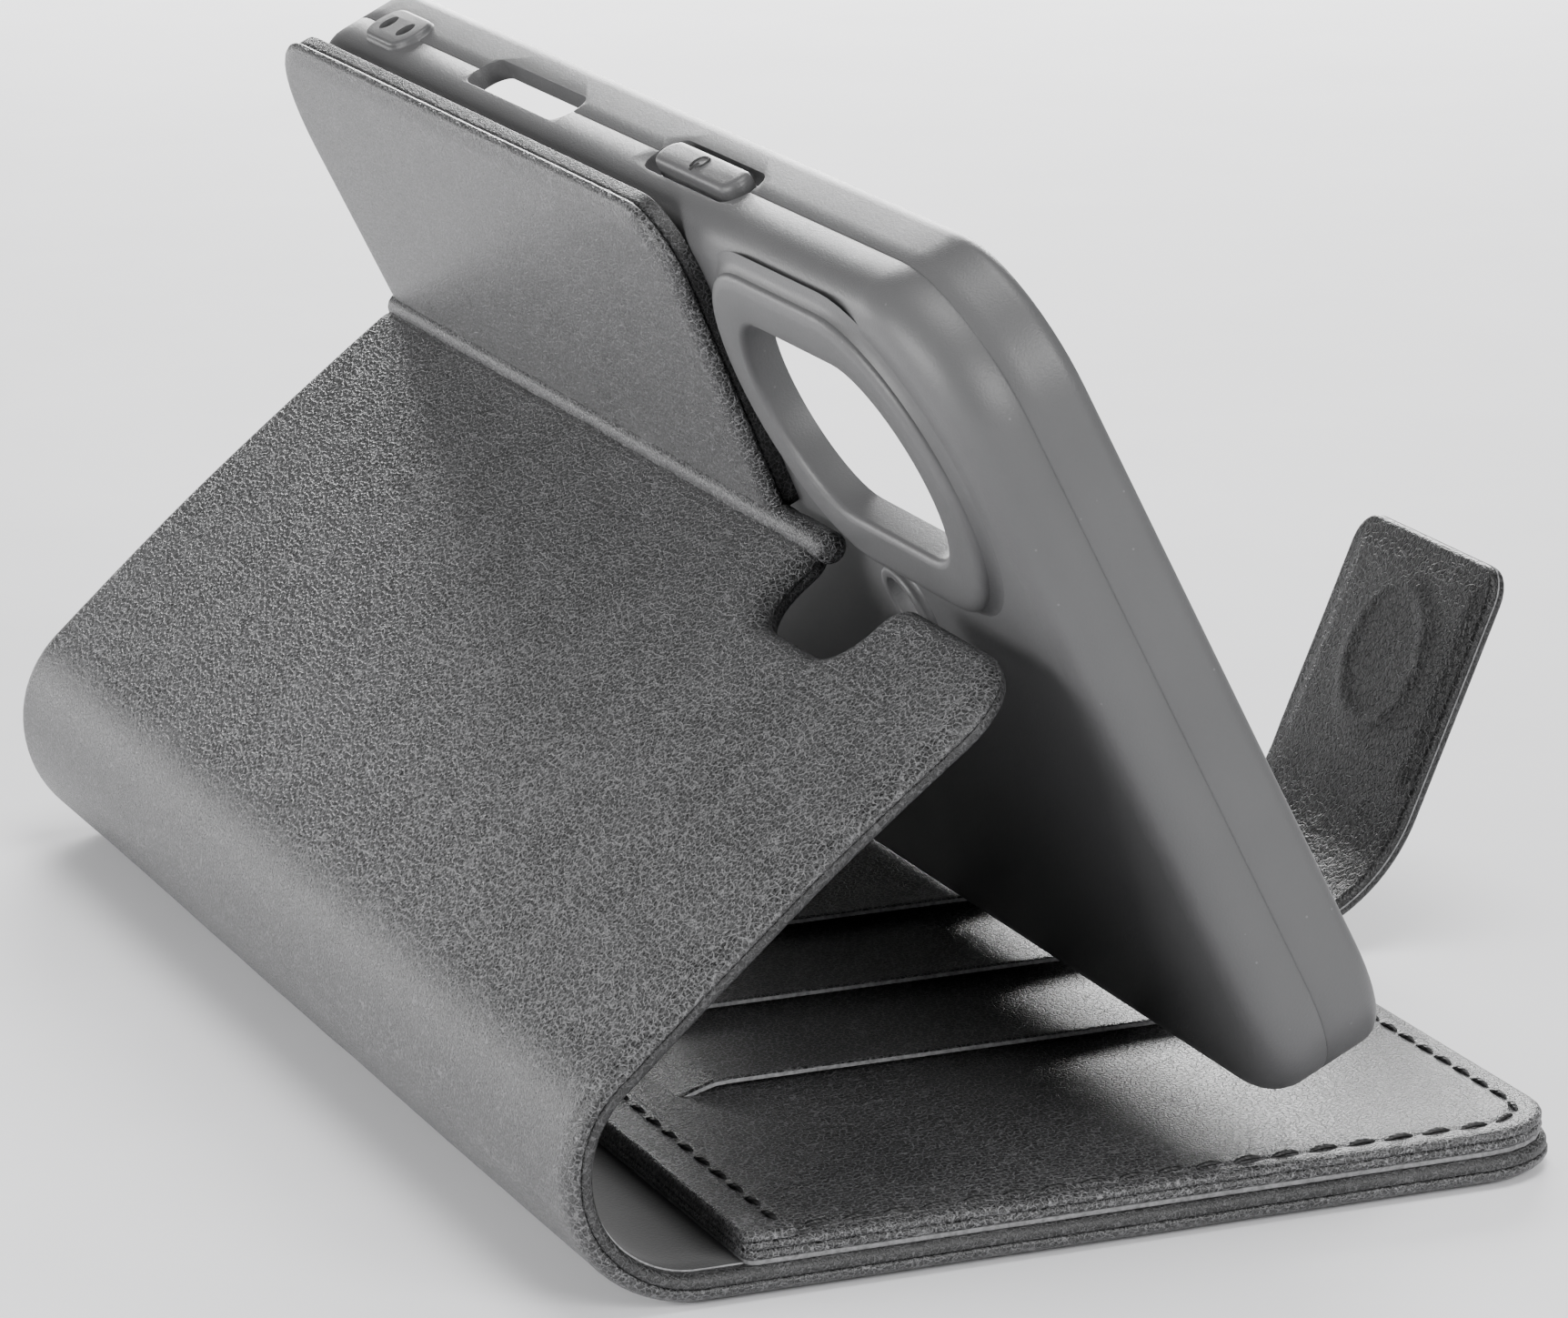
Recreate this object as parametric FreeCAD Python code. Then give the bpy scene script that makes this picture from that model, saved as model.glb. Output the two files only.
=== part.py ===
import FreeCAD, Part
import math
import os

V = FreeCAD.Vector

# A book-style wallet case for a phone, standing in its landscape pose.
# X runs from the spine to the free edge, Y from the near end to the far end, Z is up.
# All lengths are in millimetres, all angles in degrees.

# Driving dimensions: leather cover
COVER_LEN = 151.0          # Y length of the front cover and the back panel
SPINE_R = 11.0             # outer radius of the curved spine
COVER_EDGE_X = 85.8        # free edge of the front cover, measured from the spine's outermost line
LEATHER_T = 1.3            # outer leather
LINING_T = 1.1             # inner lining
BOARD_T = LEATHER_T + LINING_T
COVER_CORNER_R = 8.0
PANEL_TILT = 39.3          # back panel above the horizontal
PANEL_LEN = 45.0           # spine hinge to fold axis
SHELL_TILT = 64.1          # shell above the horizontal, leaning back over the panel

# Driving dimensions: phone shell
SHELL_LEN = 151.4
SHELL_WIDTH = 75.4
SHELL_DEPTH = 10.8
SHELL_NEAR_Y = -1.5
SHELL_CORNER_R = 12.0
SHELL_WALL = 1.9
SHELL_BACK_T = 1.6
SHELL_LIP_T = 1.2
SHELL_LIP_IN = 0.8
SHELL_TOP = 29.7           # fold axis to the shell's upper wall
STRIP_LEN = 31.2           # fold axis to the strip's upper edge
STRIP_T = 2.7

# Hinges of the leather
BEAD_R = BOARD_T / 2
HINGE_RELIEF = 1.0         # end of the piece that carries a bead, from its axis
HINGE_GAP = 1.6            # end of the piece that swings round a bead, from its axis

# Pocket panel on the front cover
PANEL_X = 14.5
PANEL_INSET = 0.5
WELT_T = 0.4
BACKING_T = 0.8
FACING_T = 0.8
POCKET_T = 0.95
SLOT_H = 0.3
SLOT_Y = (36.0, 53.0, 70.0)
SLOT_DEPTH = 62.0
HEM_WIDTH = 4.6
HEM_T = 0.7

# Closing strap
STRAP_WIDTH = 27.0
STRAP_LAYER_T = 0.8
STRAP_BEND_R = 16.5
STRAP_BEND = 66.0
STRAP_TIP_LEN = 23.0
STRAP_Z = 2.0
STRAP_AXIS_OUT = 0.4
STRAP_GAP = 1.3
MAGNET_R = 7.0
MAGNET_T = 0.5

# Features of the shell, measured along Y from its near end and down from its upper wall
CAMERA_AT = (27.2, 16.0)
CAMERA_SIZE = (33.5, 17.6)
GUARD_SIZE = (43.6, 27.0)
GUARD_H = 1.4
FLASH_AT = (34.5, 33.4)
FLASH_R = 2.5
FLASH_GUARD_R = 3.5
FLASH_GUARD_H = 0.9
BUTTON_AT = 54.0
BUTTON_SIZE = (17.0, 3.0)
BUTTON_SLOT = (20.4, 4.4)
BUTTON_T = 2.3
BUTTON_PROUD = 0.7
CONTROL_AT = 97.0
CONTROL_SIZE = (24.0, 3.8)
WALL_FEATURE_DEPTH = 5.4   # centre line of the openings in the wall, from the shell's back
LANYARD_AT = 131.0
LANYARD_PITCH = 4.6
LANYARD_R = 1.0
LANYARD_PLATE = (10.4, 4.4)
LANYARD_PLATE_H = 0.6

# Places worked out from the driving dimensions
STRAP_T = 2 * STRAP_LAYER_T
COVER_ORIGIN = V((SPINE_R + COVER_EDGE_X) / 2, COVER_LEN / 2, 0)
HINGE_R = SPINE_R - BEAD_R
LOWER_HINGE = V(SPINE_R, 0, BEAD_R)


def along(angle):
    """Unit vector in the XZ plane, at an angle above +X."""
    return V(math.cos(math.radians(angle)), 0, math.sin(math.radians(angle)))


UPPER_HINGE = V(SPINE_R, 0, SPINE_R) + along(90 + PANEL_TILT) * HINGE_R
FOLD_AXIS = UPPER_HINGE + along(PANEL_TILT) * PANEL_LEN
FACING_TOP = BOARD_T + WELT_T + BACKING_T + FACING_T
SHELL_BOTTOM = SHELL_TOP - SHELL_WIDTH
SHELL_BACK = BEAD_R - STRIP_T
SHELL_LIP = SHELL_BACK - SHELL_DEPTH
SHELL_FAR_Y = SHELL_NEAR_Y + SHELL_LEN
STRAP_AXIS = V(COVER_EDGE_X + STRAP_AXIS_OUT, 0, STRAP_Z)
STRAP_CENTRE = STRAP_AXIS + V(0, 0, STRAP_BEND_R)
STRAP_KNEE = STRAP_CENTRE + along(STRAP_BEND - 90) * STRAP_BEND_R
STRAP_Y0 = (COVER_LEN - STRAP_WIDTH) / 2
STRAP_Y1 = STRAP_Y0 + STRAP_WIDTH


def outline(points, z):
    """Closed wire through (x, y, corner radius) points at one height."""
    corners = []
    for i, (x, y, r) in enumerate(points):
        here = V(x, y, z)
        before = V(points[i - 1][0], points[i - 1][1], z) - here
        after = V(points[(i + 1) % len(points)][0], points[(i + 1) % len(points)][1], z) - here
        before.normalize()
        after.normalize()
        half = before.getAngle(after) / 2
        reach = r / math.tan(half)
        centre = here + (before + after).normalize() * (r / math.sin(half))
        middle = here if r == 0 else centre + (here - centre).normalize() * r
        corners.append((here + before * reach, middle, here + after * reach))
    edges = []
    for i, (start, middle, end) in enumerate(corners):
        if points[i][2] > 0:
            edges.append(Part.Arc(start, middle, end).toShape())
        following = corners[(i + 1) % len(corners)][0]
        if end.distanceToPoint(following) > 1e-6:
            edges.append(Part.LineSegment(end, following).toShape())
    return Part.Wire(edges)


def plate(points, z0, z1):
    """Flat piece with rounded corners between two heights."""
    return Part.Face(outline(points, z0)).extrude(V(0, 0, z1 - z0))


def block(x0, x1, y0, y1, z0, z1, r=0.0):
    """Rectangular plate with one radius at its four upright corners."""
    return plate([(x0, y0, r), (x1, y0, r), (x1, y1, r), (x0, y1, r)], z0, z1)


def pill(x, y, length, width, z0, z1):
    """Rounded slot shape, long along Y."""
    r = width / 2 - 0.001
    return block(x - width / 2, x + width / 2, y - length / 2, y + length / 2, z0, z1, r)


def soften(shape, z, radius):
    """Round every edge of a flat piece that lies at one height."""
    rim = [e for e in shape.Edges if abs(e.BoundBox.ZMin - z) < 1e-4 and abs(e.BoundBox.ZMax - z) < 1e-4]
    return shape.makeFillet(radius, rim)


def rod(centre, r, y0, y1):
    """Round bar along Y."""
    return Part.makeCylinder(r, y1 - y0, V(centre.x, y0, centre.z), V(0, 1, 0))


def band(centre, r_in, r_out, a0, a1, y0, y1):
    """Curved sheet round a line along Y, between two radii and two angles."""
    def at(r, a):
        return V(centre.x, y0, centre.z) + along(a) * r

    middle = (a0 + a1) / 2
    edges = [
        Part.Arc(at(r_out, a0), at(r_out, middle), at(r_out, a1)).toShape(),
        Part.LineSegment(at(r_out, a1), at(r_in, a1)).toShape(),
        Part.Arc(at(r_in, a1), at(r_in, middle), at(r_in, a0)).toShape(),
        Part.LineSegment(at(r_in, a0), at(r_out, a0)).toShape(),
    ]
    return Part.Face(Part.Wire(edges)).extrude(V(0, y1 - y0, 0))


def tilted(shape, angle, at):
    """Turn a flat piece up about Y, so its local X points at the angle, and move it into place."""
    turned = shape.copy()
    turned.Placement = FreeCAD.Placement(at, FreeCAD.Rotation(V(0, -1, 0), angle))
    return turned


def on_panel(shape):
    """Back panel frame: X from the upper spine hinge up the panel, Z outwards from mid thickness."""
    return tilted(shape, PANEL_TILT, UPPER_HINGE)


def on_shell(shape):
    """Shell frame: X from the fold axis up the strip, Z outwards from the panel's mid thickness."""
    return tilted(shape, 180 - SHELL_TILT, FOLD_AXIS)


def on_wall(shape):
    """Frame of the shell's upper wall: X from the back towards the lip, Z out of the wall."""
    turned = shape.copy()
    at = V(SHELL_TOP, SHELL_NEAR_Y, SHELL_BACK)
    turned.Placement = FreeCAD.Placement(at, FreeCAD.Rotation(V(0, 1, 0), 90))
    return on_shell_frame(turned)


def on_shell_frame(shape):
    """Place a shape that already carries a placement in the shell frame."""
    frame = FreeCAD.Placement(FOLD_AXIS, FreeCAD.Rotation(V(0, -1, 0), 180 - SHELL_TILT))
    moved = shape.copy()
    moved.Placement = frame.multiply(shape.Placement)
    return moved


def cover_points(inset, x0, spine_r):
    """Outline of a layer of the front cover."""
    x1 = COVER_EDGE_X - inset
    y0, y1 = inset, COVER_LEN - inset
    r = COVER_CORNER_R - inset
    return [(x0, y0, spine_r), (x1, y0, r), (x1, y1, r), (x0, y1, spine_r)]


def front_cover():
    """Outer leather, lining, welt and the bead that the spine swings on."""
    bead = rod(LOWER_HINGE, BEAD_R, 0, COVER_LEN)
    x0 = SPINE_R + HINGE_RELIEF
    leather = soften(plate(cover_points(0, x0, 0), 0, LEATHER_T), 0, 0.9).cut(bead)
    lining = plate(cover_points(0.2, x0, 0), LEATHER_T, BOARD_T).cut(bead)
    welt = plate(cover_points(0.4, PANEL_X, 1.0), BOARD_T, BOARD_T + WELT_T)
    return {
        "front_cover_leather": leather,
        "front_cover_lining": lining,
        "cover_edge_welt": welt,
        "spine_lower_bead": bead,
    }


def pocket_panel():
    """Backing, facing, stitched hem and three stepped card pockets with open slots."""
    z = BOARD_T + WELT_T
    backing = plate(cover_points(PANEL_INSET, PANEL_X, 1.0), z, z + BACKING_T)
    facing = plate(cover_points(PANEL_INSET, PANEL_X, 1.0), z + BACKING_T, FACING_TOP)
    y1 = COVER_LEN - PANEL_INSET
    hem = block(PANEL_X, PANEL_X + HEM_WIDTH, PANEL_INSET, y1, FACING_TOP, FACING_TOP + HEM_T, 1.0)
    parts = {
        "pocket_backing": backing,
        "pocket_facing": facing,
        "pocket_hem": soften(hem, FACING_TOP + HEM_T, 0.4),
    }
    x0 = PANEL_X + HEM_WIDTH + 0.1
    x1 = COVER_EDGE_X - PANEL_INSET
    for i, y in enumerate(SLOT_Y):
        z0 = FACING_TOP + i * POCKET_T
        corner = COVER_CORNER_R - PANEL_INSET
        layer = plate([(x0, y, 0), (x1, y, 0), (x1, y1, corner), (x0, y1, 1.0)], z0, z0 + POCKET_T)
        slot = block(x0 + 3, x1 - 4, y - 1, y + SLOT_DEPTH, z0 - 1, z0 + SLOT_H)
        parts[f"card_pocket_{i + 1}"] = layer.cut(slot)
    return parts


def spine():
    """Curved leather and lining between the front cover and the back panel."""
    centre = V(SPINE_R, 0, SPINE_R)
    trim = math.degrees(HINGE_GAP / HINGE_R)
    a0 = 90 + PANEL_TILT + trim
    a1 = 270 - trim
    middle_r = SPINE_R - LEATHER_T
    return {
        "spine_leather": band(centre, middle_r, SPINE_R, a0, a1, 0, COVER_LEN),
        "spine_lining": band(centre, middle_r - LINING_T, middle_r, a0, a1, 0.2, COVER_LEN - 0.2),
    }


def panel_points(inset):
    """Back panel outline: a notch clears the flash, and a horn stands at the near end."""
    x0 = HINGE_RELIEF
    x1 = PANEL_LEN - HINGE_GAP
    fold_x = PANEL_LEN - HINGE_RELIEF
    y0, y1 = inset, COVER_LEN - inset
    notch_near, notch_far, notch_x = 24.0 - inset, 42.0 + inset, x1 - 7.4 - inset
    return [
        (x0, y0, 0),
        (x1 - inset, y0, 7.0 - inset),
        (x1 - inset, notch_near, 1.4),
        (notch_x, notch_near, 4.0),
        (notch_x, notch_far, 5.0),
        (fold_x, notch_far, 0),
        (fold_x, y1, 0),
        (x0, y1, 0),
    ]


def back_panel():
    """Leather and lining of the back panel, the upper spine bead and the fold's piping."""
    bead = rod(UPPER_HINGE, BEAD_R, 0, COVER_LEN)
    piping = rod(FOLD_AXIS, BEAD_R, 42.5, COVER_LEN)
    leather = on_panel(plate(panel_points(0), BEAD_R - LEATHER_T, BEAD_R))
    lining = on_panel(plate(panel_points(0.2), -BEAD_R, BEAD_R - LEATHER_T))
    return {
        "spine_upper_bead": bead,
        "back_panel_leather": leather.cut(bead).cut(piping),
        "back_panel_lining": lining.cut(bead).cut(piping),
        "fold_piping": piping,
    }


def strip_points(inset):
    """Strip outline: slanted near edge beside the camera guard, wide corner at the far end."""
    x0, x1 = HINGE_GAP, STRIP_LEN - inset
    return [
        (x0, 51.6 + inset, 1.5),
        (x1, 44.6 + inset, 6.0),
        (x1, COVER_LEN - 1.0 - inset, 13.0 - inset),
        (x0, COVER_LEN - 1.0 - inset, 0),
    ]


def strip():
    """Leather strip on the shell's back and the backing that bonds it there."""
    leather = plate(strip_points(0), BEAD_R - LEATHER_T, BEAD_R)
    backing = plate(strip_points(0.3), SHELL_BACK, BEAD_R - LEATHER_T)
    return {"strip_leather": on_shell(soften(leather, BEAD_R, 0.5)), "strip_backing": on_shell(backing)}


def shell_xy(at):
    """Place on the shell's back, from its near end and down from its upper wall."""
    return SHELL_TOP - at[1], SHELL_NEAR_Y + at[0]


def shell_box(inset, z0, z1):
    """Slab of the shell's outline between two heights, shrunk by an inset."""
    return block(SHELL_BOTTOM + inset, SHELL_TOP - inset, SHELL_NEAR_Y + inset, SHELL_FAR_Y - inset,
                 z0, z1, SHELL_CORNER_R - inset)


def phone_shell():
    """Moulded shell: back, four walls and a lip, with openings for lenses, flash and wall features."""
    body = shell_box(0, SHELL_LIP, SHELL_BACK)
    body = soften(soften(body, SHELL_BACK, 3.0), SHELL_LIP, 0.5)
    body = body.cut(shell_box(SHELL_WALL, SHELL_LIP + SHELL_LIP_T, SHELL_BACK - SHELL_BACK_T))
    body = body.cut(shell_box(SHELL_WALL + SHELL_LIP_IN, SHELL_LIP - 1, SHELL_LIP + SHELL_LIP_T + 1))
    x, y = shell_xy(CAMERA_AT)
    body = body.cut(pill(x, y, CAMERA_SIZE[0], CAMERA_SIZE[1], SHELL_BACK - 3, SHELL_BACK + 1))
    x, y = shell_xy(FLASH_AT)
    body = body.cut(Part.makeCylinder(FLASH_R, 4, V(x, y, SHELL_BACK - 3)))
    body = on_shell(body)
    for place, size in ((BUTTON_AT, BUTTON_SLOT), (CONTROL_AT, CONTROL_SIZE)):
        body = body.cut(on_wall(pill(WALL_FEATURE_DEPTH, place, size[0], size[1], -3, 1)))
    for hole in lanyard_holes():
        body = body.cut(hole)
    return body


def lanyard_holes():
    """Two round holes through the upper wall and its raised plate."""
    holes = []
    for side in (-0.5, 0.5):
        at = V(WALL_FEATURE_DEPTH, LANYARD_AT + side * LANYARD_PITCH, -3)
        holes.append(on_wall(Part.makeCylinder(LANYARD_R, 5, at)))
    return holes


def raised_frames():
    """Frames that stand proud of the shell round the lenses, the flash and the lanyard holes."""
    x, y = shell_xy(CAMERA_AT)
    top = SHELL_BACK + GUARD_H
    guard = soften(pill(x, y, GUARD_SIZE[0], GUARD_SIZE[1], SHELL_BACK, top), top, 1.0)
    guard = guard.cut(pill(x, y, CAMERA_SIZE[0], CAMERA_SIZE[1], SHELL_BACK - 1, top + 1))
    x, y = shell_xy(FLASH_AT)
    ring = Part.makeCylinder(FLASH_GUARD_R, FLASH_GUARD_H, V(x, y, SHELL_BACK))
    ring = ring.cut(Part.makeCylinder(FLASH_R, FLASH_GUARD_H, V(x, y, SHELL_BACK)))
    long, wide = LANYARD_PLATE
    boss = soften(pill(WALL_FEATURE_DEPTH, LANYARD_AT, long, wide, 0, LANYARD_PLATE_H), LANYARD_PLATE_H, 0.3)
    boss = on_wall(boss)
    for hole in lanyard_holes():
        boss = boss.cut(hole)
    return {"camera_guard": on_shell(guard), "flash_guard": on_shell(ring), "lanyard_boss": boss}


def power_button():
    """Floating button in its slot, with a plain raised ring on top."""
    top = BUTTON_PROUD
    long, wide = BUTTON_SIZE
    button = pill(WALL_FEATURE_DEPTH, BUTTON_AT, long, wide, top - BUTTON_T, top)
    button = soften(button, top, 0.4)
    ring = Part.makeCylinder(0.9, 0.15, V(WALL_FEATURE_DEPTH, BUTTON_AT, top))
    ring = ring.cut(Part.makeCylinder(0.6, 0.15, V(WALL_FEATURE_DEPTH, BUTTON_AT, top)))
    return {"power_button": on_wall(button), "power_button_ring": on_wall(ring)}


def strap():
    """Closing strap: curved root and straight tip, two layers each, and a magnet in the tip."""
    bead = rod(STRAP_AXIS, STRAP_LAYER_T, STRAP_Y0, STRAP_Y1)
    bead = bead.cut(block(0, COVER_EDGE_X, 0, COVER_LEN, 0, 4))
    knee = rod(STRAP_KNEE, STRAP_LAYER_T, STRAP_Y0, STRAP_Y1)
    a0 = -90 + math.degrees(STRAP_GAP / STRAP_BEND_R)
    a1 = -90 + STRAP_BEND - math.degrees(0.5 / STRAP_BEND_R)
    outer_r = STRAP_BEND_R + STRAP_LAYER_T
    inner_r = STRAP_BEND_R - STRAP_LAYER_T
    root_outer = band(STRAP_CENTRE, STRAP_BEND_R, outer_r, a0, a1, STRAP_Y0, STRAP_Y1)
    root_inner = band(STRAP_CENTRE, inner_r, STRAP_BEND_R, a0, a1, STRAP_Y0, STRAP_Y1)
    tip = [(STRAP_GAP, STRAP_Y0, 0), (STRAP_TIP_LEN, STRAP_Y0, 3.0),
           (STRAP_TIP_LEN, STRAP_Y1, 3.0), (STRAP_GAP, STRAP_Y1, 0)]
    magnet_at = V(STRAP_TIP_LEN - MAGNET_R - 4.0, COVER_LEN / 2, -MAGNET_T)
    magnet = Part.makeCylinder(MAGNET_R, MAGNET_T, magnet_at)
    tip_outer = plate(tip, -STRAP_LAYER_T, 0).cut(magnet)
    tip_inner = plate(tip, 0, STRAP_LAYER_T)
    return {
        "strap_hinge_bead": bead,
        "strap_root_outer": root_outer.cut(knee),
        "strap_root_inner": root_inner.cut(knee),
        "strap_knee_bead": knee,
        "strap_tip_outer": tilted(tip_outer, STRAP_BEND, STRAP_KNEE),
        "strap_tip_inner": tilted(tip_inner, STRAP_BEND, STRAP_KNEE),
        "strap_magnet": tilted(magnet, STRAP_BEND, STRAP_KNEE),
    }


def build():
    """All pieces by node name."""
    pieces = {}
    for group in (front_cover(), pocket_panel(), spine(), back_panel(), strip(), raised_frames(),
                  power_button(), strap()):
        pieces.update(group)
    pieces["phone_shell"] = phone_shell()
    return pieces


def main():
    os.makedirs("parts", exist_ok=True)
    pieces = build()
    for name, shape in pieces.items():
        placed = shape.copy()
        placed.translate(COVER_ORIGIN * -1)
        box = placed.BoundBox
        print(name, placed.isValid(), len(placed.Solids), round(placed.Volume, 1),
              [round(v, 1) for v in (box.XMin, box.XMax, box.YMin, box.YMax, box.ZMin, box.ZMax)])
        placed.exportStep(f"parts/{name}.step")
    gap = pieces["phone_shell"].distToShape(pieces["card_pocket_3"])[0]
    print("shell above the pockets", round(gap, 2))


main()
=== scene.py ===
import math

import bmesh
import bpy
from mathutils import Matrix, Vector, noise


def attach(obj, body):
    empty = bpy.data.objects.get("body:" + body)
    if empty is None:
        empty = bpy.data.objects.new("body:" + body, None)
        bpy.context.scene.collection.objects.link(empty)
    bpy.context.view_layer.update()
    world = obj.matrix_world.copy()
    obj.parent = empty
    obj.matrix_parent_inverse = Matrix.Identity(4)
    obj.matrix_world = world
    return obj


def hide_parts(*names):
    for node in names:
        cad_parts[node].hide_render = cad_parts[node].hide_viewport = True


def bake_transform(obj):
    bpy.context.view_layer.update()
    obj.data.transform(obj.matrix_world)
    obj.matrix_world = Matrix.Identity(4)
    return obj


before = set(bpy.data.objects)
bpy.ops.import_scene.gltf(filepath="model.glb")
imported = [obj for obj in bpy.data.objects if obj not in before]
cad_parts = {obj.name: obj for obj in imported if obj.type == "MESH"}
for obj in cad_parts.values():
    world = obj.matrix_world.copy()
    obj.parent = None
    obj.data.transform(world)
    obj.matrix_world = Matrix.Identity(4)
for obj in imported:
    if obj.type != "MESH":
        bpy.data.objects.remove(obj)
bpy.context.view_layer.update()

# A book-style wallet case for a phone, standing in its landscape pose.
# Shapes are worked out in millimetres in the same local frames as the CAD, then placed in metres.

MM = 0.001

# Leather boards
COVER_LEN = 151.0
SPINE_R = 11.0
COVER_EDGE_X = 85.8
LEATHER_T = 1.3
BOARD_T = 2.4
HALF_T = BOARD_T / 2
COVER_CORNER_R = 8.0
PANEL_TILT = 39.3
PANEL_LEN = 45.0
SHELL_TILT = 64.1
HINGE_GAP = 1.6
LINING_MARGIN = 1.5
LINING_SHEET_T = 0.14
PANEL_BOW = 0.6

# Phone shell
SHELL_LEN = 151.4
SHELL_WIDTH = 75.4
SHELL_DEPTH = 10.8
SHELL_NEAR_Y = -1.5
SHELL_CORNER_R = 12.0
SHELL_WALL = 1.9
SHELL_BACK_T = 1.6
SHELL_LIP_T = 1.2
SHELL_LIP_IN = 0.8
BACK_ROUND = 3.4
SHELL_TOP = 29.7
STRIP_LEN = 31.2
STRIP_T = 2.7

# Pocket panel
PANEL_X = 14.5
PANEL_INSET = 0.5
WELT_T = 0.4
BACKING_T = 0.8
FACING_T = 0.8
POCKET_T = 0.95
POCKET_SHEET_T = 0.32
SLOT_Y = (36.0, 53.0, 70.0)
HEM_WIDTH = 4.6
HEM_T = 0.7
FACING_TOP = BOARD_T + WELT_T + BACKING_T + FACING_T
STITCH_INSET = 2.3

# Closing strap
STRAP_WIDTH = 27.0
STRAP_LAYER_T = 0.8
STRAP_BEND_R = 16.5
STRAP_BEND = 66.0
STRAP_TIP_LEN = 23.0
STRAP_AXIS = Vector((COVER_EDGE_X + 0.4, 0, 2.0))
STRAP_TUCK = 2.0
MAGNET_R = 7.0

# Features of the shell, along Y from its near end and down from its upper wall
CAMERA_AT = (27.2, 16.0)
CAMERA_SIZE = (33.5, 17.6)
GUARD_SIZE = (43.6, 27.0)
GUARD_H = 1.4
FLASH_AT = (34.5, 33.4)
FLASH_R = 2.5
FLASH_GUARD_R = 3.5
FLASH_GUARD_H = 0.9
BUTTON_AT = 54.0
BUTTON_SIZE = (17.0, 3.0)
BUTTON_SLOT = (20.4, 4.4)
BUTTON_T = 2.3
BUTTON_PROUD = 0.7
POWER_SIGN_R = 0.15
CONTROL_AT = 97.0
CONTROL_SIZE = (24.0, 3.8)
WALL_FEATURE_DEPTH = 5.4
LANYARD_AT = 131.0
LANYARD_PITCH = 4.6
LANYARD_R = 1.0
LANYARD_PLATE = (10.4, 4.4)
LANYARD_PLATE_H = 0.6


def along(angle):
    """Unit vector in the XZ plane, at an angle in degrees above +X."""
    return Vector((math.cos(math.radians(angle)), 0, math.sin(math.radians(angle))))


# Places worked out from the dimensions, in the local frame of the cover
ORIGIN = Vector((-(SPINE_R + COVER_EDGE_X) / 2, -COVER_LEN / 2, 0))
MID_R = SPINE_R - HALF_T
SPINE_CENTRE = Vector((SPINE_R, 0, SPINE_R))
SPINE_ARC = math.radians(180 - PANEL_TILT)
UPPER_HINGE = SPINE_CENTRE + along(90 + PANEL_TILT) * MID_R
FOLD_AXIS = UPPER_HINGE + along(PANEL_TILT) * PANEL_LEN
S_SPINE = MID_R * SPINE_ARC
S_MIDDLE = S_SPINE / 2
SHELL_BOTTOM = SHELL_TOP - SHELL_WIDTH
SHELL_BACK = HALF_T - STRIP_T
SHELL_LIP = SHELL_BACK - SHELL_DEPTH
SHELL_FAR_Y = SHELL_NEAR_Y + SHELL_LEN
STRAP_CENTRE = STRAP_AXIS + Vector((0, 0, STRAP_BEND_R))
STRAP_ARC = math.radians(STRAP_BEND)
STRAP_S = STRAP_BEND_R * STRAP_ARC
STRAP_KNEE = STRAP_CENTRE + along(STRAP_BEND - 90) * STRAP_BEND_R
STRAP_Y0 = (COVER_LEN - STRAP_WIDTH) / 2
STRAP_Y1 = STRAP_Y0 + STRAP_WIDTH


def frame_at(at, degrees):
    """Matrix from a local frame, turned up about Y, to the row frame in metres."""
    x = along(degrees)
    z = along(degrees + 90)
    shift = at + ORIGIN
    rows = [(x.x, 0, z.x, shift.x), (0, 1, 0, ORIGIN.y), (x.z, 0, z.z, shift.z), (0, 0, 0, 1)]
    return Matrix.Scale(MM, 4) @ Matrix(rows)


COVER = frame_at(Vector((0, 0, 0)), 0)
SHELL = frame_at(FOLD_AXIS, 180 - SHELL_TILT)
WALL = SHELL @ Matrix([(0, 0, 1, SHELL_TOP), (0, 1, 0, SHELL_NEAR_Y), (-1, 0, 0, SHELL_BACK), (0, 0, 0, 1)])


# ---------------------------------------------------------------- materials

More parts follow.
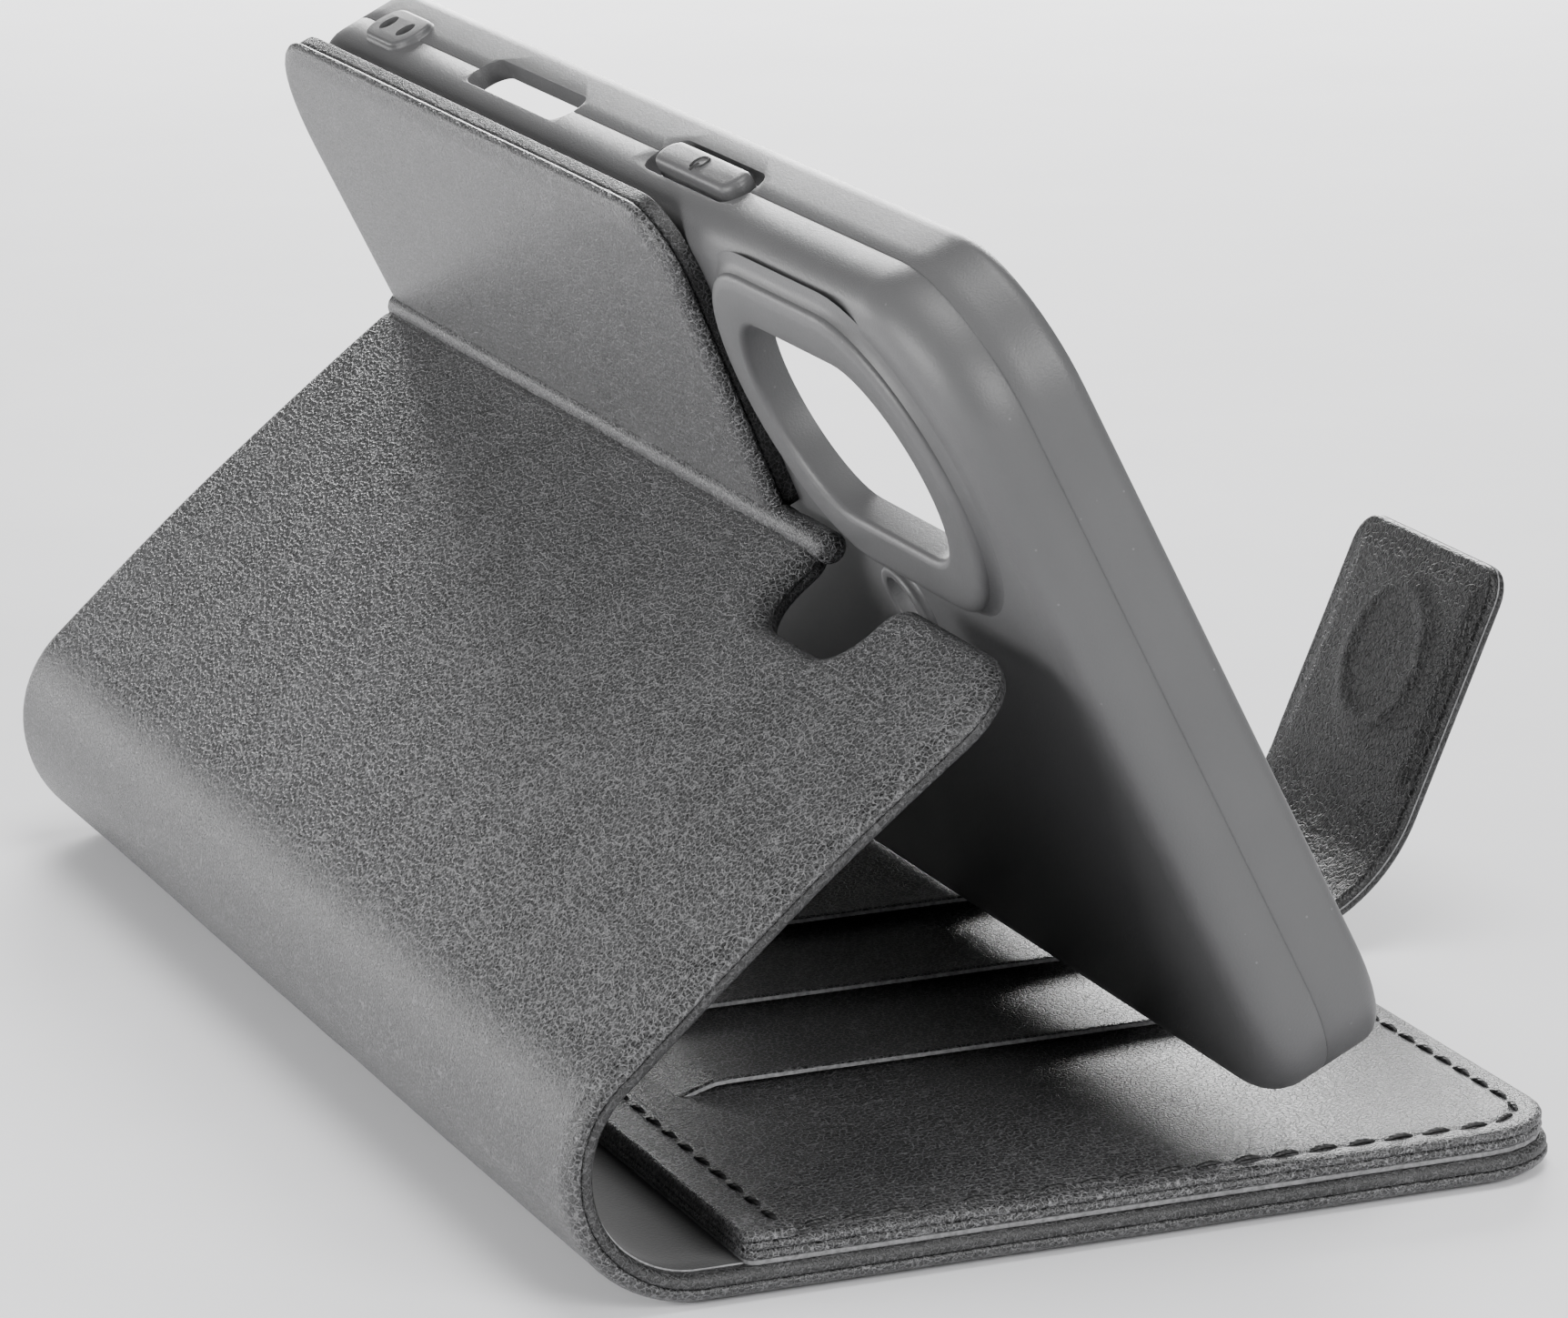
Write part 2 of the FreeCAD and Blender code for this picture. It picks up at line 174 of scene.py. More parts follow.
class Shader:
    """Node material around one Principled shader."""

    def __init__(self, name, **values):
        self.material = bpy.data.materials.new(name)
        self.material.use_nodes = True
        self.tree = self.material.node_tree
        self.principled = self.tree.nodes["Principled BSDF"]
        for key, value in values.items():
            self.principled.inputs[key.replace("_", " ")].default_value = value
        self.coords = self.tree.nodes.new("ShaderNodeTexCoord").outputs["Object"]

    def add(self, kind, inputs=None, **settings):
        node = self.tree.nodes.new(kind)
        for key, value in settings.items():
            setattr(node, key, value)
        for key, value in (inputs or {}).items():
            if isinstance(value, bpy.types.NodeSocket):
                self.tree.links.new(value, node.inputs[key])
            else:
                node.inputs[key].default_value = value
        return node

    def noise(self, scale, detail=3.0, vector=None, roughness=0.55):
        return self.add("ShaderNodeTexNoise", {"Vector": vector or self.coords, "Scale": scale,
                                               "Detail": detail, "Roughness": roughness}).outputs["Fac"]

    def math(self, operation, a, b):
        return self.add("ShaderNodeMath", {0: a, 1: b}, operation=operation).outputs[0]

    def fit(self, value, low, high, to_low, to_high):
        return self.add("ShaderNodeMapRange", {0: value, 1: low, 2: high, 3: to_low, 4: to_high}).outputs[0]

    def warp(self, scale, amount):
        """Coordinates pushed about by noise, in metres."""
        colour = self.add("ShaderNodeTexNoise", {"Vector": self.coords, "Scale": scale}).outputs["Color"]
        push = self.add("ShaderNodeVectorMath", {0: colour, 1: (0.5, 0.5, 0.5)}, operation="SUBTRACT")
        push = self.add("ShaderNodeVectorMath", {0: push.outputs[0], "Scale": amount}, operation="SCALE")
        moved = self.add("ShaderNodeVectorMath", {0: self.coords, 1: push.outputs[0]}, operation="ADD")
        return moved.outputs[0]

    def link(self, socket, value):
        self.tree.links.new(value, self.principled.inputs[socket])

    def colour(self, factor, stops):
        ramp = self.add("ShaderNodeValToRGB", {0: factor})
        elements = ramp.color_ramp.elements
        for i, (place, grey) in enumerate(stops):
            element = elements[i] if i < 2 else elements.new(place)
            element.position = place
            element.color = (grey, grey, grey * 1.02, 1)
        self.link("Base Color", ramp.outputs[0])

    def bump(self, height, distance, strength=1.0):
        node = self.add("ShaderNodeBump", {"Height": height, "Distance": distance, "Strength": strength})
        self.link("Normal", node.outputs[0])


def leather(name, dark, light, cell, depth, rough):
    """Grained leather: dark cells in a fine net of lighter creases, with slow changes of tone; the light net
    and fine speckle are partly grain and partly painted highlight for glints.
    """
    s = Shader(name, IOR=1.5)
    where = s.warp(1.6 / (cell * MM), cell * MM * 0.55)
    edge = s.add("ShaderNodeTexVoronoi", {"Vector": where, "Scale": 1 / (cell * MM), "Randomness": 0.95},
                 feature="DISTANCE_TO_EDGE").outputs["Distance"]
    crease = s.fit(edge, 0.02, 0.12, 1.0, 0.0)
    fine = s.fit(s.noise(3.0 / (cell * MM), 2.0), 0.35, 0.65, 0.0, 1.0)
    mottle = s.noise(140.0, 4.0)
    # The colour's crease net and fine speckle are partly grain tone and partly painted highlight, standing in
    # for glints on the crease edges.
    grain = s.math("ADD", s.math("MULTIPLY", crease, 0.5), s.math("MULTIPLY", fine, 0.4))
    s.colour(s.math("ADD", grain, s.math("MULTIPLY", mottle, 0.2)), [(0.2, dark), (0.95, light)])
    s.link("Roughness", s.fit(s.math("ADD", fine, mottle), 0.3, 1.6, rough - 0.06, rough + 0.08))
    s.bump(s.math("SUBTRACT", s.math("MULTIPLY", fine, 0.3), crease), depth * MM)
    return s.material


def rubber(name, grey, rough):
    """Soft-touch moulded rubber: satin with a very fine texture and a few dust specks."""
    s = Shader(name, IOR=1.46)
    fine = s.noise(5200.0, 2.0)
    slow = s.noise(45.0, 3.0)
    specks = s.add("ShaderNodeTexVoronoi", {"Vector": s.coords, "Scale": 420.0}).outputs["Distance"]
    speck = s.fit(specks, 0.035, 0.055, 1.0, 0.0)
    tone = s.math("ADD", s.math("MULTIPLY", slow, 0.8), s.math("MULTIPLY", speck, 0.5))
    s.colour(tone, [(0.2, grey * 0.88), (0.6, grey * 1.1), (1.0, grey * 1.7)])
    s.link("Roughness", s.fit(s.math("ADD", fine, slow), 0.6, 1.4, rough - 0.05, rough + 0.06))
    s.bump(fine, 0.00003, 0.8)
    return s.material


def microfibre(name, grey):
    """Short-napped microfibre: matt, with brushed cloudy patches."""
    s = Shader(name, IOR=1.4, Sheen_Weight=0.25, Sheen_Roughness=0.5)
    nap = s.noise(3800.0, 3.0)
    brushed = s.noise(55.0, 3.0, s.warp(90.0, 0.006))
    tone = s.math("ADD", s.math("MULTIPLY", nap, 0.4), s.math("MULTIPLY", brushed, 0.6))
    s.colour(tone, [(0.25, grey * 0.7), (0.75, grey * 1.35)])
    s.link("Roughness", s.fit(nap, 0.3, 0.7, 0.72, 0.9))
    s.bump(nap, 0.00006, 0.7)
    return s.material


def cut_edge(name, grey):
    """Cut or painted edge of leather: fibrous, lighter than the faces."""
    s = Shader(name, IOR=1.45)
    fibre = s.noise(2600.0, 4.0)
    s.colour(fibre, [(0.3, grey * 0.55), (0.7, grey * 1.25)])
    s.link("Roughness", s.fit(fibre, 0.3, 0.7, 0.5, 0.7))
    s.bump(fibre, 0.00008)
    return s.material


def twisted_thread(name, grey):
    """Waxed sewing thread, with the turns of its twist."""
    s = Shader(name, IOR=1.5)
    turns = s.add("ShaderNodeTexWave", {"Vector": s.coords, "Scale": 900.0, "Distortion": 1.5},
                  bands_direction="DIAGONAL").outputs["Fac"]
    s.colour(turns, [(0.2, grey * 0.6), (0.8, grey * 1.4)])
    s.link("Roughness", s.fit(turns, 0.0, 1.0, 0.42, 0.6))
    s.bump(turns, 0.00005)
    return s.material


def brushed_plate(name):
    """Brushed steel of the plate inside the strap."""
    s = Shader(name, Metallic=1.0)
    stretch = s.add("ShaderNodeMapping", {"Vector": s.coords, "Scale": (1.0, 14.0, 1.0)}).outputs[0]
    grain = s.noise(900.0, 3.0, stretch)
    s.colour(grain, [(0.3, 0.38), (0.7, 0.6)])
    s.link("Roughness", s.fit(grain, 0.3, 0.7, 0.3, 0.45))
    return s.material


COVER_LEATHER = leather("cover_leather", 0.004, 0.150, 0.50, 0.07, 0.30)
INNER_LEATHER = leather("turned_in_leather", 0.004, 0.080, 0.46, 0.05, 0.44)
# The pocket leather's lighter grey (1.6 times the cover's) is painted fill light, brightening the pockets
# that lie in the shell's shade.
POCKET_LEATHER = leather("pocket_leather", 0.004, 0.240, 0.52, 0.12, 0.37)
STRAP_LEATHER = leather("strap_leather", 0.003, 0.045, 0.70, 0.12, 0.36)
LINING = microfibre("lining", 0.036)
# Light cut edge of the lining; also put on the pocket lips, where its lightness is partly painted highlight.
LINING_EDGE_AND_LIP_HIGHLIGHT = cut_edge("lining_edge_and_lip_highlight", 0.32)
WELT_EDGE = cut_edge("welt_edge", 0.20)
RUBBER = rubber("shell_rubber", 0.080, 0.42)
SIGN_RUBBER = rubber("sign_rubber", 0.012, 0.5)
THREAD = twisted_thread("thread", 0.012)
STEEL = brushed_plate("magnet_steel")


# ---------------------------------------------------------------- mesh building

def ring(points, inset, steps=6):
    """Outline through (x, y, radius) corners in counter-clockwise order, drawn in by an inset."""
    out = []
    for i, (x, y, r) in enumerate(points):
        here = Vector((x, y))
        before = (Vector(points[i - 1][:2]) - here).normalized()
        after = (Vector(points[(i + 1) % len(points)][:2]) - here).normalized()
        half = before.angle(after) / 2
        centre = here + (before + after).normalized() * (r / math.sin(half))
        reach = r / math.tan(half)
        first = here + before * reach - centre
        last = here + after * reach - centre
        a0 = math.atan2(first.y, first.x)
        sweep = (math.atan2(last.y, last.x) - a0 + math.pi) % math.tau - math.pi
        drawn = max(r - inset, 0.01) if before.cross(after) < 0 else r + inset
        for k in range(steps + 1):
            a = a0 + sweep * k / steps
            out.append((centre.x + drawn * math.cos(a), centre.y + drawn * math.sin(a)))
    return out


def rounded(z0, z1, low, high, steps=5, inset=0.0, low_in=None, high_in=None):
    """(inset, height) rows up the edge of a slab; each rim is a quarter ellipse, as high as low or high."""
    low_in = low if low_in is None else low_in
    high_in = high if high_in is None else high_in
    rows = []
    for k in range(steps + 1):
        a = math.pi / 2 * k / steps
        rows.append((inset + low_in * (1 - math.sin(a)), z0 + low * (1 - math.cos(a))))
    for k in range(steps + 1):
        a = math.pi / 2 * k / steps
        rows.append((inset + high_in * (1 - math.cos(a)), z1 - high * (1 - math.sin(a))))
    return rows


def stack(rows, closed=False, steps=6):
    """Skin through outlines given as (points, inset, height), capped, or closed on itself like a frame."""
    bm = bmesh.new()
    rings = [[bm.verts.new((x, y, z)) for x, y in ring(points, inset, steps)] for points, inset, z in rows]
    pairs = list(zip(rings, rings[1:]))
    if closed:
        pairs.append((rings[-1], rings[0]))
    count = len(rings[0])
    for lower, upper in pairs:
        for i in range(count):
            j = (i + 1) % count
            bm.faces.new((lower[i], lower[j], upper[j], upper[i]))
    if not closed:
        bm.faces.new(reversed(rings[0]))
        bm.faces.new(rings[-1])
    return bm


def slab(points, rows, steps=6):
    """Solid plate from one outline and (inset, height) rows."""
    return stack([(points, inset, z) for inset, z in rows], steps=steps)


def slice_up(bm, axis, places):
    """Cut edge loops into a mesh across one axis."""
    normal = Vector((0, 0, 0))
    normal[axis] = 1
    for place in places:
        geometry = bm.verts[:] + bm.edges[:] + bm.faces[:]
        bmesh.ops.bisect_plane(bm, geom=geometry, dist=1e-5, plane_co=normal * place, plane_no=normal)


def spaced(start, stop, step):
    """Evenly spaced places strictly between two values."""
    count = max(1, round((stop - start) / step))
    return [start + (stop - start) * k / count for k in range(1, count)]


def keep_side(bm, axis, place, side):
    """Cut a mesh at a plane, keep one side and close the cut."""
    normal = Vector((0, 0, 0))
    normal[axis] = side
    geometry = bm.verts[:] + bm.edges[:] + bm.faces[:]
    cut = bmesh.ops.bisect_plane(bm, geom=geometry, dist=1e-5, plane_co=normal * side * place,
                                  plane_no=normal, clear_inner=True)
    edges = [e for e in cut["geom_cut"] if isinstance(e, bmesh.types.BMEdge)]
    bmesh.ops.edgeloop_fill(bm, edges=edges)
    bmesh.ops.recalc_face_normals(bm, faces=bm.faces[:])


def grid_sheet(xs, ys, top, thickness):
    """Closed sheet over a grid, with its upper face at top(x, y)."""
    bm = bmesh.new()
    upper = [[bm.verts.new((x, y, top(x, y))) for y in ys] for x in xs]
    lower = [[bm.verts.new((x, y, top(x, y) - thickness)) for y in ys] for x in xs]
    last_x, last_y = len(xs) - 1, len(ys) - 1
    for i in range(last_x):
        for j in range(last_y):
            bm.faces.new((upper[i][j], upper[i + 1][j], upper[i + 1][j + 1], upper[i][j + 1]))
            bm.faces.new((lower[i][j + 1], lower[i + 1][j + 1], lower[i + 1][j], lower[i][j]))
    for i in range(last_x):
        bm.faces.new((lower[i][0], lower[i + 1][0], upper[i + 1][0], upper[i][0]))
        bm.faces.new((upper[i][last_y], upper[i + 1][last_y], lower[i + 1][last_y], lower[i][last_y]))
    for j in range(last_y):
        bm.faces.new((upper[0][j], upper[0][j + 1], lower[0][j + 1], lower[0][j]))
        bm.faces.new((lower[last_x][j], lower[last_x][j + 1], upper[last_x][j + 1], upper[last_x][j]))
    return bm


def move(bm, change):
    """Replace every vertex by change(vertex position)."""
    for v in bm.verts:
        v.co = change(v.co)
    bm.normal_update()


def smooth(mesh, sharp):
    """Shade a mesh smooth, with edges sharper than an angle in degrees left sharp."""
    mesh.polygons.foreach_set("use_smooth", [True] * len(mesh.polygons))
    mesh.set_sharp_from_angle(angle=math.radians(sharp))


def piece(name, bm, place, *materials):
    """Object in the row frame from a mesh in a local frame."""
    mesh = bpy.data.meshes.new(name)
    bmesh.ops.transform(bm, matrix=place, verts=bm.verts[:])
    bm.normal_update()
    bm.to_mesh(mesh)
    bm.free()
    for material in materials:
        mesh.materials.append(material)
    smooth(mesh, 35)
    made = bpy.data.objects.new(name, mesh)
    bpy.context.scene.collection.objects.link(made)
    return made


def wave(x, y):
    """Slight unevenness of a leather board, in millimetres."""
    broad = noise.noise(Vector((x / 23.0, y / 31.0, 0.7)))
    small = noise.noise(Vector((x / 7.0, y / 8.0, 4.1)))
    return 0.13 * broad + 0.035 * small


def ramp(value, low, high):
    """Smooth step from 0 at low to 1 at high."""
    t = min(max((value - low) / (high - low), 0.0), 1.0)
    return t * t * (3 - 2 * t)


# ---------------------------------------------------------------- leather boards

def on_board(co):
    """Board coordinates to the cover frame.

    x is 0 at the lower bend line, runs round the spine and up the panel, and is negative on the front cover.
    z is out of the board.
    """
    s, y, t = co
    if s < 0:
        return Vector((SPINE_R - s, y, HALF_T - t))
    if s <= S_SPINE:
        a = 270 - math.degrees(s / MID_R)
        return Vector((0, y, 0)) + SPINE_CENTRE + along(a) * (MID_R + t)
    bow = PANEL_BOW * math.sin(math.pi * (s - S_SPINE) / PANEL_LEN)
    up = UPPER_HINGE + along(PANEL_TILT) * (s - S_SPINE) + along(90 + PANEL_TILT) * (t + bow)
    return Vector((up.x, y, up.z))


def board_points():
    """Outline of the whole board: front cover, spine and back panel with its notch and horn."""
    free = SPINE_R - COVER_EDGE_X
    horn = S_SPINE + PANEL_LEN - HINGE_GAP
    notch = horn - 7.4
    fold = S_SPINE + PANEL_LEN - 0.6
    r = COVER_CORNER_R
    return [(free, 0, r), (horn, 0, 7.0), (horn, 24.0, 2.4), (notch, 24.0, 4.0), (notch, 42.0, 5.0),
            (fold, 42.0, 2.4), (fold, COVER_LEN, 2.4), (free, COVER_LEN, r)]


def board(rows, side, materials, name, rim=None):
    """One half of a board layer, bent round the spine; side is -1 for the front half and 1 for the back."""
    bm = slab(board_points(), rows, steps=8)
    free = SPINE_R - COVER_EDGE_X
    end = S_SPINE + PANEL_LEN
    places = spaced(free, -4, 3.5) + spaced(-4.0001, S_SPINE + 4, 0.9) + spaced(S_SPINE + 4, end, 3.4)
    slice_up(bm, 0, places)
    slice_up(bm, 1, spaced(0, COVER_LEN, 3.4))
    keep_side(bm, 0, S_MIDDLE, side)
    if rim is not None:
        for f in bm.faces:
            if abs(f.normal.z) < 0.9:
                f.material_index = rim
    move(bm, lambda co: on_board(co + Vector((0, 0, wave(co.x, co.y)))))
    made = piece(name, bm, COVER, *materials)
    if side < 0:
        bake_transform(made)
    else:
        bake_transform(made)
    return made


def boards():
    outer = rounded(HALF_T - LEATHER_T, HALF_T, 0.25, 1.05, steps=6, high_in=2.1)
    inner = rounded(-HALF_T, HALF_T - LEATHER_T, 0.7, 0.2, inset=0.12)
    sheet = rounded(-HALF_T - LINING_SHEET_T, -HALF_T + 0.05, 0.04, 0.02, steps=2, inset=LINING_MARGIN)
    for side, label in ((-1, "front"), (1, "back")):
        skin = board(outer, side, [COVER_LEATHER], f"cover_leather_{label}")
        turned = board(inner, side, [INNER_LEATHER], f"turned_in_leather_{label}")
        lining = board(sheet, side, [LINING, LINING_EDGE_AND_LIP_HIGHLIGHT], f"lining_{label}", rim=1)
        if side < 0:
            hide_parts("front_cover_leather", "spine_lower_bead")
            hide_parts("front_cover_lining")
        else:
            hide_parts("spine_leather", "back_panel_leather", "spine_upper_bead")
            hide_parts("back_panel_lining")
            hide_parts("spine_lining")


def fold():
    """Rolled leather in the valley between the back panel and the strip."""
    bm = bmesh.new()
    y0, y1 = 40.6, COVER_LEN - 0.6
    rows = []
    count = 16
    middle = FOLD_AXIS + along((90 + PANEL_TILT + 270 - SHELL_TILT) / 2) * 0.85
    stations = [y0, y0 + 0.25, y0 + 0.7] + spaced(y0 + 0.7, y1 - 0.7, 1.2) + [y1 - 0.7, y1 - 0.25, y1]
    for i, y in enumerate(stations):
        edge = min(i, len(stations) - 1 - i)
        r = HALF_T * (0.62, 0.92, 1.14)[min(edge, 2)] + 0.09 * noise.noise(Vector((y / 2.3, 0.3, 0.9)))
        rows.append([bm.verts.new(middle + along(360 * k / count) * r + Vector((0, y, 0)))
                     for k in range(count)])
    for a, b in zip(rows, rows[1:]):
        for k in range(count):
            n = (k + 1) % count
            bm.faces.new((a[k], b[k], b[n], a[n]))
    bm.faces.new(rows[0])
    bm.faces.new(reversed(rows[-1]))
    bmesh.ops.recalc_face_normals(bm, faces=bm.faces[:])
    made = piece("fold_roll", bm, COVER, COVER_LEATHER)
    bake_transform(made)
    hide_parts("fold_piping")


def strip():
    """Leather strip bonded to the shell's back."""
    top = STRIP_LEN
    far = COVER_LEN - 1.0
    points = [(0.5, 51.8, 2.1), (top, 44.6, 6.0), (top, far, 13.0), (0.5, far, 2.1)]
    skin = rounded(HALF_T - LEATHER_T, HALF_T, 0.25, 1.05, steps=6, high_in=2.0)
    base = rounded(SHELL_BACK - 0.05, HALF_T - LEATHER_T, 0.1, 0.45, inset=0.3)
    layers = (("strip_skin", "strip_leather", skin, COVER_LEATHER, "cover_leather"),
              ("strip_base", "strip_backing", base, INNER_LEATHER, "lining"))
    for name, node, rows, material, slot in layers:
        bm = slab(points, rows, steps=10)
        slice_up(bm, 0, spaced(0, top, 3.0))
        slice_up(bm, 1, spaced(44, far, 3.2))
        move(bm, lambda co: co + Vector((0, 0, 0.6 * wave(co.x + 40, co.y))) if co.z > -1 else co)
        made = piece(name, bm, SHELL, material)
        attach(made, "shell")
        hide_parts(node)


# ---------------------------------------------------------------- pocket panel

def panel_outline(inset, x0=PANEL_X):
    """Outline of a layer on the front cover."""
    x1 = COVER_EDGE_X - inset
    y1 = COVER_LEN - inset
    r = COVER_CORNER_R - inset
    return [(x0, inset, 1.2), (x1, inset, r), (x1, y1, r), (x0, y1, 1.2)]


def ride_cover(made, node):
    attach(made, "front_cover")
    if node:
        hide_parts(node)


def pocket_panel():
    z = BOARD_T + WELT_T
    welt = slab(panel_outline(0.4), rounded(BOARD_T - 0.02, z + 0.02, 0.15, 0.15, inset=0.25))
    ride_cover(piece("edge_welt", welt, COVER, WELT_EDGE), "cover_edge_welt")
    backing = slab(panel_outline(PANEL_INSET), rounded(z, z + BACKING_T, 0.35, 0.38))
    made = piece("pocket_backing_edge", backing, COVER, POCKET_LEATHER)
    ride_cover(made, "pocket_backing")
    top = FACING_TOP
    groove = [(1.5, top), (1.85, top - 0.05), (2.1, top - 0.13), (STITCH_INSET, top - 0.16),
              (2.5, top - 0.13), (2.75, top - 0.04), (3.1, top + 0.02)]
    edge = rounded(z + BACKING_T, top, 0.25, 0.5, high_in=1.0)
    facing = slab(panel_outline(PANEL_INSET), edge + groove, steps=8)
    slice_up(facing, 0, spaced(PANEL_X, COVER_EDGE_X, 3.0))
    slice_up(facing, 1, spaced(0, COVER_LEN, 3.0))
    move(facing, lambda co: co + Vector((0, 0, 0.5 * wave(co.x, co.y + 70))) if co.z > top - 0.1 else co)
    made = piece("pocket_facing_panel", facing, COVER, POCKET_LEATHER)
    ride_cover(made, "pocket_facing")


def pocket_top(level, y0):
    """Height of a pocket's upper face: it swells between its sewn ends and curls up a little at its lip."""
    x0, x1 = PANEL_X + HEM_WIDTH + 1.6, COVER_EDGE_X - PANEL_INSET - STITCH_INSET - 1.0
    y1 = COVER_LEN - PANEL_INSET - STITCH_INSET - 1.0

    def top(x, y):
        across = ramp(x, x0, x0 + 6) * (1 - ramp(x, x1 - 6, x1))
        swell = across * (1 - ramp(y, y1 - 7, y1))
        lip = 0.14 * (1 - ramp(y, y0, y0 + 2.4)) * across
        uneven = 0.35 * wave(x + 11 * level, y) * swell
        return FACING_TOP - 0.3 + (0.3 + POCKET_T * level) * swell + lip + uneven

    return top


def pockets():
    """Three card pockets; each lip's front face takes the light cut-edge material, partly cut edge and partly
    painted highlight on the folded lip, above a dark slot.
    """
    x0, x1 = PANEL_X + HEM_WIDTH + 1.2, COVER_EDGE_X - PANEL_INSET - STITCH_INSET - 0.6
    xs = [x0] + spaced(x0, x1, 1.4) + [x1]
    far = COVER_LEN - PANEL_INSET - STITCH_INSET - 0.6
    for i, y0 in enumerate(SLOT_Y):
        end = SLOT_Y[i + 1] + 9 if i + 1 < len(SLOT_Y) else far
        ys = [y0, y0 + 0.12, y0 + 0.35, y0 + 0.8, y0 + 1.6, y0 + 2.6] + spaced(y0 + 2.6, end, 2.6) + [end]
        top = pocket_top(i + 1, y0)

        def rolled(x, y, top=top, y0=y0):
            return top(x, y) - 0.13 * max(0.0, 1 - (y - y0) / 0.35) ** 2

        bm = grid_sheet(xs, ys, rolled, POCKET_SHEET_T)
        bm.normal_update()
        # Front faces of each lip get the light edge material: a cut edge, lightened as painted highlight on
        # the folded lip.
        for f in bm.faces:
            if f.normal.y < -0.9:
                f.material_index = 1
        made = piece(f"card_pocket_sheet_{i + 1}", bm, COVER, POCKET_LEATHER, LINING_EDGE_AND_LIP_HIGHLIGHT)
        ride_cover(made, f"card_pocket_{i + 1}")


def hem():
    """Turned hem along the spine side of the pocket panel."""
    y1 = COVER_LEN - PANEL_INSET
    x1 = PANEL_X + HEM_WIDTH
    points = [(PANEL_X, PANEL_INSET, 0.9), (x1, PANEL_INSET, 0.9), (x1, y1, 0.9), (PANEL_X, y1, 0.9)]
    top = FACING_TOP + HEM_T
    bm = slab(points, rounded(FACING_TOP - 0.05, top, 0.1, 0.5))
    slice_up(bm, 0, spaced(PANEL_X, x1, 0.4))
    slice_up(bm, 1, spaced(0, COVER_LEN, 1.3))

    def pull(co):
        """Sink the hem along its stitches, with a pucker at each one."""
        near = math.exp(-((co.x - x1 + 1.1) / 0.45) ** 2) if co.z > FACING_TOP + 0.2 else 0
        pucker = 0.14 + 0.10 * math.sin(co.y / 3.6 * math.tau)
        return co + Vector((0, 0, -near * pucker + (0.5 * wave(co.x, co.y) if co.z > FACING_TOP else 0)))

    move(bm, pull)
    ride_cover(piece("spine_side_hem", bm, COVER, POCKET_LEATHER), "pocket_hem")


def stitch(bm, at, direction, up, length, width, height):
    """One sewn stitch: a slim rounded lens that dips at both ends."""
    side = up.cross(direction).normalized()
    rows = []
    spans = 6
    sides = 8
    for i in range(spans + 1):
        u = i / spans * 2 - 1
        fat = math.sqrt(max(1 - abs(u) ** 2.4, 0.03))
        middle = at + direction * (u * length / 2) + up * (height * (0.35 - 0.75 * u * u))
        rows.append([bm.verts.new(middle + side * (math.cos(k / sides * math.tau) * width / 2 * fat)
                                  + up * (math.sin(k / sides * math.tau) * height * 0.6 * fat))
                     for k in range(sides)])
    for a, b in zip(rows, rows[1:]):
        for k in range(sides):
            n = (k + 1) % sides
            bm.faces.new((a[k], a[n], b[n], b[k]))
    bm.faces.new(reversed(rows[0]))
    bm.faces.new(rows[-1])


def sew(name, line, z, pitch, length, closed=False):
    """Row of stitches along a line of (x, y) points on the front cover."""
    line = [Vector((x, y, z)) for x, y in line]
    if closed:
        line.append(line[0])
    bm = bmesh.new()
    gone = pitch / 2
    up = Vector((0, 0, 1))
    for a, b in zip(line, line[1:]):
        reach = (b - a).length
        while gone < reach:
            direction = (b - a).normalized()
            slant = Matrix.Rotation(math.radians(5), 3, "Z") @ direction
            at = a + direction * gone
            stitch(bm, at + up * 0.03 * noise.noise(at), slant, up, length, 0.52, 0.36)
            gone += pitch
        gone -= reach
    bmesh.ops.recalc_face_normals(bm, faces=bm.faces[:])
    ride_cover(piece(name, bm, COVER, THREAD), None)


def sewing():
    corners = ring(panel_outline(PANEL_INSET), STITCH_INSET, steps=8)
    start = PANEL_X + HEM_WIDTH + 0.6
    edge = PANEL_INSET + STITCH_INSET
    line = [(start, edge)] + [p for p in corners if p[0] > start] + [(start, COVER_LEN - edge)]
    sew("perimeter_stitches", line, FACING_TOP - 0.06, 3.3, 2.8)
    x = PANEL_X + HEM_WIDTH - 1.1
    sew("hem_stitches", [(x, 2.4), (x, COVER_LEN - 2.4)], FACING_TOP + HEM_T - 0.1, 3.6, 3.0)


# ---------------------------------------------------------------- strap

def on_strap(co):
    """Strap coordinates to the cover frame: x runs out along the strap, z towards the shell."""
    s, y, t = co
    if s < 0:
        at = STRAP_AXIS + Vector((s, 0, t))
    elif s <= STRAP_S:
        at = STRAP_CENTRE + along(math.degrees(s / STRAP_BEND_R) - 90) * (STRAP_BEND_R - t)
    else:
        at = STRAP_KNEE + along(STRAP_BEND) * (s - STRAP_S) + along(90 + STRAP_BEND) * t
    return Vector((at.x, y, at.z))


